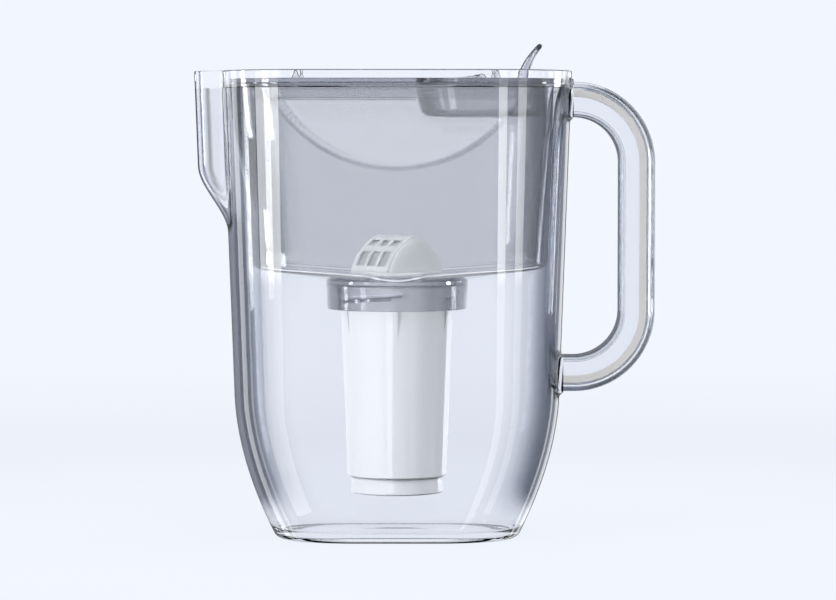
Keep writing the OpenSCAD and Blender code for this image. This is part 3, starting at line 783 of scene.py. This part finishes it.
def buildCollar():
    r, b, h = collar["radius"], 0.0004, hopper["floorZ"]
    top = h + hopper["skin"]
    profile = roundedProfile([(r - collar["taper"], collarZ, 0.0007), (r, h - 0.00005, b),
        (collar["spigot"], h - 0.00005, b), (collar["spigot"], top, b), (collar["webHole"], top, b),
        (collar["webHole"], webZ, b), (collar["bore"], webZ, 0.0008), (collar["bore"], collarZ, 0.0006)], 3)
    ring = lathe(profile, 192, looped=True)
    r, starts, span = collar["bore"], collar["starts"], math.radians(collar["threadTurn"])
    tip = r - collar["threadIn"]
    ridges = [ridge(r + 0.0005, tip, ridgeZ, 2 * math.pi * k / starts, span) for k in range(starts)]
    return combined(ring, ridges, "UNION")


collarLook = dict(smokyLook, tint=linear(209, 210, 215), tintVaried=linear(201, 202, 209), coatRough=0.03)
collarSmoky = clearPlastic("collarPlastic", collarLook)
makePiece("socketCollar", [buildCollar()], "hopper", ["socket_collar"], collarSmoky)
print("collar made")


# lid

lid = {
    "thickness": 0.0025, "inset": 0.0019, "skirt": 0.0085, "skirtHalfLength": 0.0894,
    "skirtHalfDepth": 0.050, "skirtWall": 0.0018, "wellDrop": 0.0187, "wellFloor": 0.002, "wellPower": 3.4,
    "wellTop": (0.048, 0.0405, 0.037), "wellLow": (0.049, 0.0355, 0.033), "wellRound": 0.004,
    "holeX": 0.044, "holeLength": 0.036, "holeWidth": 0.044,
}
lidZ = ledgeZ + hopper["flange"] + 0.0003
lidTop = lidZ + lid["thickness"]
wellZ = lidZ - lid["wellDrop"]
wellFloorZ = wellZ + lid["wellFloor"]


def wellRing(z, inset, count):
    # superellipse between the well's mouth and its floor
    t = (z - wellZ) / (lidTop - wellZ)
    cx, a, b = [mix(low, top, t) for low, top in zip(lid["wellLow"], lid["wellTop"])]
    turn = turns(count)
    return np.stack([cx + (a - inset) * signedPower(np.cos(turn), 2 / lid["wellPower"]),
        (b - inset) * signedPower(np.sin(turn), 2 / lid["wellPower"]), np.full(count, z)], -1)


def holeRing(z, grow, count):
    turn = turns(count)
    return np.stack([lid["holeX"] + (lid["holeLength"] / 2 + grow) * signedPower(np.cos(turn), 2 / 5),
        (lid["holeWidth"] / 2 + grow) * signedPower(np.sin(turn), 2 / 5), np.full(count, z)], -1)


def lidOutline(z, inset, count):
    # the jug's outline at the lid's height, by equal turns about the middle
    turn = turns(count)
    fine = rimRing(stations(120, 60, 1.0), lidZ, lid["inset"] + inset)[0]
    angle = np.unwrap(np.arctan2(fine[:, 1], fine[:, 0]))
    start = angle[0]
    at = np.mod(turn - start, 2 * np.pi) + start
    angle, fine = np.append(angle, start + 2 * np.pi), np.vstack([fine, fine[:1]])
    x, y = [np.interp(at, angle, fine[:, k]) for k in (0, 1)]
    return np.stack([x, y, np.full(count, z)], -1)


def buildLid():
    count, floorT, r = 240, lid["wellFloor"], lid["wellRound"]
    rings = [holeRing(wellFloorZ - 0.0003, 0, count), holeRing(wellFloorZ, 0.0003, count)]
    q = r - floorT
    for b in arcSteps(5, 90, 0):
        z = wellFloorZ + q * (1 - math.sin(b))
        rings.append(wellRing(z, floorT + q * (1 - math.cos(b)), count))
    rings += [wellRing(z, floorT, count) for z in np.linspace(wellFloorZ + q, lidTop - 0.0008, 14)[1:]]
    rings += [wellRing(lidTop - 0.0002, floorT - 0.0003, count), wellRing(lidTop, floorT - 0.0008, count)]
    inner, outer = wellRing(lidTop, floorT - 0.0008, count), lidOutline(lidTop, 0.0005, count)
    rings += [mix(inner, outer, t) for t in (0.25, 0.5, 0.75)]
    rings += [outer, lidOutline(lidTop - 0.0002, 0.0001, count), lidOutline(lidTop - 0.0006, 0, count),
        lidOutline(lidZ + 0.0003, 0, count), lidOutline(lidZ, 0.0003, count)]
    start, end = lidOutline(lidZ, 0.0003, count), wellRing(lidZ, 0, count)
    rings += [mix(start, end, t) for t in (0.25, 0.5, 0.75)]
    rings += [wellRing(z, 0, count) for z in np.linspace(lidZ, wellZ + r, 14)]
    for b in arcSteps(5, 0, 90)[1:]:
        rings.append(wellRing(wellZ + r * (1 - math.sin(b)), r * (1 - math.cos(b)), count))
    rings += [holeRing(wellZ, 0.0003, count), holeRing(wellZ + 0.0003, 0, count)]
    plate = loft(rings[::-1], looped=True)

    st = stations(60, 12, 1.1)
    low, high, t = lidZ - lid["skirt"], lidZ + 0.0005, lid["skirtWall"]
    skirt = []
    b = 0.0004
    for z, inset in ((high, 0), (high, t), (low + b, t), (low, t - b), (low, b), (low + b, 0)):
        x, y = onPlan(st, lid["skirtHalfLength"] - inset, lid["skirtHalfDepth"] - inset, flatHalf)
        skirt.append(np.stack([x, y, np.full_like(x, z)], -1))
    skirt = loft(skirt, looped=True)
    return combined(plate, [skirt, *hingeEars(), *rimMarks()], "UNION")


def prism(outline, low, high, bevel=0.0002):
    # anticlockwise outline (x, z) pushed along Y from low to high, with its two end edges eased
    outline = np.asarray(outline, float)[::-1]
    middle = outline.mean(0)
    rings = []
    for y, shrink in ((low, bevel), (low + bevel, 0), (high - bevel, 0), (high, bevel)):
        away = outline - middle
        length = np.linalg.norm(away, axis=1, keepdims=True)
        flat = middle + away * (1 - shrink / np.maximum(length, 1e-6))
        rings.append(np.stack([flat[:, 0], np.full(len(flat), y), flat[:, 1]], -1))
    return loft(rings)


hinge = {"x": 0.073, "z": 0.2437, "ear": 0.003, "earIn": 0.0223, "reach": 0.0037}


def hingeEars():
    # upright plates with round tops that hold the pin
    r = hinge["reach"]
    t = np.radians(np.linspace(0, 180, 25))
    top = np.stack([hinge["x"] + r * np.cos(t), hinge["z"] + r * np.sin(t)], -1)
    low = wellFloorZ - 0.0005
    outline = np.vstack([top, [[hinge["x"] - r, low], [hinge["x"] + r, low]]])
    ends = (hinge["earIn"], hinge["earIn"] + hinge["ear"])
    return [prism(outline, *ends), prism(outline, -ends[1], -ends[0])]


marks = {
    "from": (-0.052, 0.044), "length": 0.008, "ribAt": (-0.0555, 0.0555), "ribFoot": 0.0023,
    "ribTop": 0.0007, "ribShoulder": 0.0043, "ribHeight": 0.0047,
    "ramp": ((0.0324, 0), (0.0500, 0), (0.0486, 0.0024), (0.0470, 0.0029), (0.0455, 0.0016),
        (0.0437, 0.0024), (0.0420, 0.0012), (0.0402, 0.0018), (0.0385, 0.0009), (0.0326, 0.0006)),
}


def rimMarks():
    # small pointed ribs, and a ramp with teeth, on each long edge of the lid
    z0, a, b, up = lidTop - 0.0005, marks["ribFoot"], marks["ribTop"], marks["ribShoulder"]
    parts = []
    for y in marks["from"]:
        for x in marks["ribAt"]:
            outline = [(x - a, z0), (x + a, z0), (x + b, z0 + up), (x, z0 + marks["ribHeight"]),
                (x - b, z0 + up)]
            parts.append(prism(outline, y, y + marks["length"], bevel=0.0004))
        ramp = [(x, z0 + high) for x, high in marks["ramp"]]
        parts.append(prism(ramp, y, y + marks["length"], bevel=0.0003))
    return parts


lidLook = dict(smokyLook, tint=linear(224, 224, 226), tintVaried=linear(221, 221, 224),
    edgeBand=(0.2561, 0.2590), edgeBandTint=linear(160, 161, 170))
lidSmoky = clearPlastic("lidPlastic", lidLook)
makePiece("lidShell", [buildLid()], "lid", ["lid_frame"], lidSmoky)
print("lid made")


# thumb lever

lever = {
    "x": 0.0703, "foot": 0.2502, "bendZ": 0.252, "bendRadius": 0.0366, "tipZ": 0.2786,
    "width": 0.020, "thick": 0.006, "tipThick": 0.003, "thinFrom": 0.258, "tipRound": 0.008,
    "tongue": (0.0026, 0.012, 0.004),
}


def buildLever():
    # A rounded-rectangle section carried up the lever's centre line, an arc that leans to the
    # handle. It thins with height and its end is rounded off.
    foot, tip, end, tipR = lever["foot"], lever["tipZ"], lever["tipRound"], lever["tipThick"] / 2
    ease = np.sin(arcSteps(8, 0, 90))
    z = np.concatenate([[foot, foot + 0.0004], np.linspace(foot + 0.0004, tip - end, 26)[1:],
        tip - end + (end - 0.00005) * ease[1:]])
    d = np.clip(z - lever["bendZ"], 0, None)
    mid = lever["x"] + lever["bendRadius"] - np.sqrt(lever["bendRadius"] ** 2 - d * d)
    lean = np.arcsin(d / lever["bendRadius"])
    thinned = smoothStep((z - lever["thinFrom"]) / (tip - lever["thinFrom"]))
    thick = mix(lever["thick"], lever["tipThick"], thinned) / 2
    near = np.clip((z - tip + end) / end, 0, 1)
    thick = thick * np.sqrt(np.clip(1 - np.clip((z - tip + tipR) / tipR, 0, 1) ** 2, 0.0004, 1))
    width = lever["width"] / 2 * np.sqrt(np.clip(1 - 0.94 * near ** 2.2, 0.0004, 1))
    thick[0] -= 0.0004
    width[0] -= 0.0004
    turn = turns(48)[None, :]
    a = thick[:, None] * signedPower(np.cos(turn), 0.62)
    y = width[:, None] * signedPower(np.sin(turn), 0.32)
    x = mid[:, None] + a * np.cos(lean)[:, None]
    return loft(np.stack([x, y, z[:, None] - a * np.sin(lean)[:, None]], -1))


def block(centre, size, bevel=0.0003):
    cx, cy, cz = centre
    w, d, h = [s / 2 for s in size]
    outline = roundedProfile([(cx - w, cz - h, bevel), (cx + w, cz - h, bevel), (cx + w, cz + h, bevel),
        (cx - w, cz + h, bevel)], 3)
    return prism(outline, cy - d, cy + d, bevel=bevel)


tongue = lever["tongue"]
tongueBlock = block((lever["x"], 0, lever["foot"] - tongue[2] / 2 + 0.0005),
    (tongue[0] - 0.0001, tongue[1] - 0.0001, tongue[2] + 0.0009))
leverLook = dict(smokyLook, tint=linear(206, 208, 216), tintVaried=linear(180, 182, 194), flowScale=160.0,
    depth=shades((1.0, 0.985, 0.93), (0, 1), (0.2, 0.95), (0.5, 0.7), (0.8, 0.7), (1, 1)))
leverSmoky = clearPlastic("leverPlastic", leverLook)
makePiece("thumbLever", [combined(buildLever(), [tongueBlock], "UNION")], "flap", ["thumb_lever"],
    leverSmoky)
print("lever made")


# cartridge

cartridge = {
    "topRadius": 0.0316, "lowRadius": 0.028, "lowZ": 0.0348, "wall": 0.0015, "outletZ": 0.0254,
    "outletRadius": 0.026, "headRadius": 0.0317, "boss": 0.0281, "bossIn": 0.026, "ribHeight": 0.014,
    "ribs": 6, "threadTurn": 70, "threadOut": 0.0015, "outletWall": 0.0016,
    "outletSlots": 12, "outletSlotAt": 0.014, "outletSlotSize": (0.012, 0.002, 0.006),
    "cupGap": 0.0003, "headGap": 0.0012, "bossUp": 0.0006,
    "hoodHeight": 0.0205, "hoodLength": 0.030, "hoodWidth": 0.044, "hoodWall": 0.0016, "nose": 0.0055,
    "hoodTurn": 45, "slotRows": ((0.0034, 0.0114), (0.0146, 0.0176)), "slotPitch": 0.0086,
    "slotWidth": 0.0066, "ringIn": 0.0180, "ringOut": 0.0266,
}
cupZ = collarZ + cartridge["cupGap"]
headTop = webZ - cartridge["headGap"]
bossTop = hopper["floorZ"] + hopper["skin"] + cartridge["bossUp"]


def buildCup():
    top, low, t = cartridge["topRadius"], cartridge["lowRadius"], cartridge["wall"]
    z0 = cartridge["lowZ"]
    outlet = cartridge["outletRadius"]
    outline = roundedProfile([(outlet - 0.003, z0, 0.0004), (low, z0, 0.0012), (top, cupZ, 0.0002),
        (top - t, cupZ, 0.0002), (low - t, z0 + 0.0016, 0.0008), (outlet - 0.003, z0 + 0.0016, 0.0004)], 4)
    cup = lathe(outline, 144, looped=True)
    # six pointed ribs under the top edge
    z = cupZ - cartridge["ribHeight"]
    wallR = mix(low, top, (z - z0) / (cupZ - z0))
    outer = top + 0.001
    outline = np.array([(wallR - 0.0009, z), (wallR + 0.0001, z), (outer, cupZ - 0.0025),
        (outer, cupZ - 0.0001), (low + 0.0022, cupZ - 0.0001)])
    rings = [np.stack([outline[:, 0], np.full(5, y), outline[:, 1]], -1) for y in (-0.0006, 0.0006)]
    rib = loft(np.array(rings)[:, ::-1])
    count = cartridge["ribs"]
    return [cup, *[placed(rib, 2 * math.pi * (k + 0.5) / count) for k in range(count)]]


def buildOutlet():
    r, z0, z1 = cartridge["outletRadius"], cartridge["outletZ"], cartridge["lowZ"]
    t, count = cartridge["outletWall"], cartridge["outletSlots"]
    outline = roundedProfile([(0.0001, z0, 0), (r, z0, 0.0011), (r, z1, 0.0003), (r - t, z1, 0.0003),
        (r - t, z0 + t, 0.001), (0.0001, z0 + t, 0)], 4)
    slot = block((cartridge["outletSlotAt"], 0, z0), cartridge["outletSlotSize"], 0.0006)
    slots = [placed(slot, 2 * math.pi * k / count) for k in range(count)]
    return combined(lathe(outline, 144, looped=True), slots, "DIFFERENCE")


def buildHead():
    r, t = cartridge["headRadius"], cartridge["wall"]
    outline = roundedProfile([(r, cupZ, 0.0004), (r, headTop, 0.0008), (cartridge["boss"], headTop, 0.0004),
        (cartridge["boss"], bossTop, 0.0003), (cartridge["bossIn"], bossTop, 0.0003),
        (cartridge["bossIn"], headTop - 0.0024, 0.0003), (r - t, headTop - 0.0024, 0.0006),
        (r - t, cupZ, 0.0004)], 3)
    ring = lathe(outline, 144, looped=True)
    starts, span = collar["starts"], math.radians(cartridge["threadTurn"])
    z = ridgeZ + collar["lead"] / starts / 2  # half a pitch above the collar's ridges
    tip = r + cartridge["threadOut"]
    ridges = [ridge(r - 0.0005, tip, z, 2 * math.pi * k / starts, span) for k in range(starts)]
    return [ring, *ridges]


def vaultSection(width, height, count=28):
    # outline of the vault, from the +side foot over the top to the -side foot
    t = smoothStep(np.linspace(0, 1, count + 1))
    half = width / 2 * (1 - t ** 1.45) ** 0.63
    side = np.stack([half, height * t], -1)
    return np.vstack([side, (side * [-1, 1])[::-1][1:]])


def hoodSolid(shrink, low):
    # The section runs along the vault, then shrinks to its foot's middle on an elliptic path, which
    # makes the rounded nose at one end.
    w = cartridge["hoodWidth"] / 2 - shrink
    section = vaultSection(2 * w, cartridge["hoodHeight"] - shrink)
    section = np.vstack([section, [[-w, low], [w, low]]])
    half = cartridge["hoodLength"] / 2 - shrink
    rows = [(-half, 0.985), (-half + 0.0007, 1.0)]
    rows += [(s, 1.0) for s in np.linspace(-half + 0.002, half - 0.003, 12)]
    rows.append((half - 0.0005, 0.995))
    for a in arcSteps(14, 0, 88):
        rows.append((half - 0.0005 + cartridge["nose"] * math.sin(a), 0.955 * math.cos(a)))
    rings = []
    for s, scale in rows:
        w, h = section[:, 0] * scale, section[:, 1] * mix(0.35, 1, scale) if scale < 1 else section[:, 1]
        rings.append(np.stack([w, np.full(len(w), -s), h], -1))
    return loft(rings)


def buildHood():
    t, a, b = cartridge["hoodWall"], cartridge["ringIn"], cartridge["ringOut"]
    slots = [block((0, k * cartridge["slotPitch"], (z0 + z1) / 2),
        (cartridge["hoodWidth"] + 0.002, cartridge["slotWidth"], z1 - z0), 0.0005)
        for k in (-1, 0, 1) for z0, z1 in cartridge["slotRows"]]
    shell = combined(hoodSolid(0, 0), [hoodSolid(t, -0.003), *slots], "DIFFERENCE")
    ring = lathe(roundedProfile([(a, 0, 0.0003), (b, 0, 0.0004), (b, t, 0.0006), (a, t, 0.0003)], 3),
        144, looped=True)
    return [placed(shell, math.radians(cartridge["hoodTurn"]), (0, 0, bossTop + t)),
        placed(ring, 0, (0, 0, bossTop))]


def buildScreen():
    # thin strainer just inside the hood, behind its slots
    t = cartridge["hoodWall"]
    shell = combined(hoodSolid(t + 0.0001, 0), [hoodSolid(t + 0.0005, -0.003)], "DIFFERENCE")
    return placed(shell, math.radians(cartridge["hoodTurn"]), (0, 0, bossTop + t))


hoodLook = dict(whiteLook, colour=linear(221, 223, 227), colourVaried=linear(215, 218, 223), glowThrough=0.8)
white = satinPlastic("whitePlastic", whiteLook)
hoodWhite = satinPlastic("hoodPlastic", hoodLook)
screenMesh = satinPlastic("screenMesh", meshLook)
for name, parts, replaced, finish in (("cartridgeCup", buildCup(), "cartridge_shell", white),
        ("cartridgeHead", buildHead(), "cartridge_head", white),
        ("outletCap", [buildOutlet()], "outlet_cap", white),
        ("intakeHood", buildHood(), "intake_hood", hoodWhite)):
    makePiece(name, parts, "cartridge", [replaced], finish, 32.0)
makePiece("hoodScreen", [buildScreen()], "cartridge", [], screenMesh, 32.0)
print("cartridge made")


# studio

studio = {
    "background": linear(242, 246, 255), "light": (0.82, 0.86, 0.93, 1), "lightStrength": 1.2,
    "skyDark": linear(120, 128, 150), "nearFloor": linear(235.5, 239.5, 248.5), "glossDim": 0.8,
    "aimZ": 0.13, "floorHalf": 30.0,
}


def raysSeen(board):
    # rays from the camera, off mirrors and through glass, and 1 for any of them
    camera, glossy, through = [board.add("ShaderNodeLightPath", output=f"Is {kind} Ray")
        for kind in ("Camera", "Glossy", "Transmission")]
    seen = board.add("ShaderNodeMath", {"operation": "ADD", "use_clamp": True},
        {0: camera + glossy, 1: through})
    return camera, glossy, through, seen


def buildWorld():
    world = bpy.data.worlds.new("studio")
    scene.world = world
    world.use_nodes = True
    board = Board(world.node_tree)
    camera, glossy, through, seen = raysSeen(board)
    place = board.add("ShaderNodeTexCoord", output="Generated")
    height = board.add("ShaderNodeSeparateXYZ", sockets={"Vector": place}, output="Z")
    steep = board.between(board.add("ShaderNodeMath", {"operation": "ABSOLUTE"}, {0: height}), 0.35, 0.85)
    colour = board.blend(steep * (1 - camera), studio["background"], studio["skyDark"])
    mirrored = glossy * (1 - through)
    colour = board.blend(mirrored * studio["glossDim"], colour, (0, 0, 0, 1))
    shown = board.add("ShaderNodeBackground", sockets={"Color": colour, "Strength": 1.0})
    light = board.add("ShaderNodeBackground",
        sockets={"Color": studio["light"], "Strength": studio["lightStrength"]})
    both = board.add("ShaderNodeMixShader", sockets={0: seen, 1: light, 2: shown})
    board.add("ShaderNodeOutputWorld", sockets={"Surface": both})


def buildFloor():
    size = studio["floorHalf"]
    corners = np.array([[-size, -size, 0], [size, -size, 0], [size, size, 0], [-size, size, 0]])
    floor = bpy.data.objects.new("floor", makeMesh("floor", [(corners, [np.array([[0, 1, 2, 3]])])]))
    scene.collection.objects.link(floor)
    material, board = newMaterial("floorPaint")
    seen = raysSeen(board)[-1]
    place = board.add("ShaderNodeTexCoord", output="Object")
    away = board.add("ShaderNodeVectorMath", {"operation": "LENGTH"}, {0: place}, output="Value")
    share = seen * (0.97 + 0.03 * board.between(away, 0.2, 0.7))
    matt = board.add("ShaderNodeBsdfDiffuse", sockets={"Color": studio["background"]})
    shade = board.blend(board.between(away, 0.3, 1.6), studio["nearFloor"], studio["background"])
    glow = board.add("ShaderNodeEmission", sockets={"Color": shade, "Strength": 1.0})
    both = board.add("ShaderNodeMixShader", sockets={0: share, 1: matt, 2: glow})
    board.add("ShaderNodeOutputMaterial", sockets={"Surface": both})
    floor.data.materials.append(material)
    floor.visible_glossy = False


def addLamp(name, azimuth, distance, height, width, tall, power, seenBy):
    # Azimuth 0 is towards the viewer and -90 on the spout's side. The lamp faces the jug's middle.
    data = bpy.data.lights.new(name, "AREA")
    data.shape, data.size, data.size_y = "RECTANGLE", width, tall
    data.energy = power
    lamp = bpy.data.objects.new(name, data)
    scene.collection.objects.link(lamp)
    a = math.radians(azimuth)
    spot = np.array([math.sin(a) * distance, -math.cos(a) * distance, height])
    aim = np.array([0, 0, studio["aimZ"]]) - spot
    lamp.location = spot
    lamp.rotation_euler = (math.atan2(math.hypot(aim[0], aim[1]), -aim[2]), 0, math.atan2(-aim[0], aim[1]))
    lamp.visible_camera = False
    lamp.visible_glossy = seenBy == "glossy"
    lamp.visible_transmission = seenBy == "through"
    lamp.visible_diffuse = seenBy == "matt"


# a long lens that looks slightly down
view = {"lens": 148.3, "sensor": 36.0, "place": (0.0119, -1.95, 0.224), "down": 2.64}


def buildCamera():
    data = bpy.data.cameras.new("camera")
    viewer = bpy.data.objects.new("camera", data)
    scene.collection.objects.link(viewer)
    data.sensor_width, data.lens = view["sensor"], view["lens"]
    data.clip_start, data.clip_end = 0.1, 100.0
    viewer.location = view["place"]
    viewer.rotation_euler = (math.radians(90 - view["down"]), 0, 0)
    scene.camera = viewer


buildWorld()
buildFloor()
# name: azimuth, distance, height, width, tall, power, and what sees it
lamps = {
    "stripLeft": (-58, 1.6, 0.13, 1.10, 3.2, 68, "glossy"),
    "rimSoft": (-86, 1.6, 0.13, 0.40, 3.2, 6, "glossy"),
    "rimLeft": (-104, 1.6, 0.13, 0.14, 3.2, 4.2, "glossy"),
    "rimFarLeft": (-121, 1.6, 0.13, 0.34, 3.2, 12, "glossy"),
    "rimRight": (154, 1.6, 0.13, 0.4, 3.2, 5, "glossy"),
    "lineRight": (134, 1.6, 0.13, 0.16, 3.2, 3.5, "glossy"),
    "stripRight": (22.5, 1.6, 0.13, 0.32, 3.2, 18, "glossy"),
    "stripFarRight": (51, 1.6, 0.13, 0.37, 3.2, 16, "glossy"),
    "glintLeft": (-61, 1.6, 0.12, 0.3, 0.6, 5.0, "through"),
    "glintFarLeft": (-102, 1.6, 0.12, 0.24, 0.6, 9, "through"),
    "glintRight": (119, 1.6, 0.12, 0.36, 0.6, 7, "through"),
    "softKey": (-57, 1.2, 0.4, 0.8, 1.4, 46, "matt"),
    "softFront": (12, 1.4, 0.3, 0.8, 1.2, 5, "matt"),
    "softTop": (40, 1.3, 1.0, 1.2, 1.2, 32, "matt"),
    "softEdge": (106, 1.2, 0.3, 0.8, 1.2, 26, "matt"),
    "softBack": (200, 1.4, 0.4, 0.8, 1.2, 18, "matt"),
}
for name, (*place, seenBy) in lamps.items():
    addLamp(name, *place, seenBy)
buildCamera()

scene.view_settings.view_transform = "Standard"
scene.cycles.max_bounces = 32
scene.cycles.transmission_bounces = 32
scene.cycles.glossy_bounces = 8
scene.cycles.transparent_max_bounces = 48
scene.cycles.caustics_reflective = False
scene.cycles.caustics_refractive = False
print("studio made")
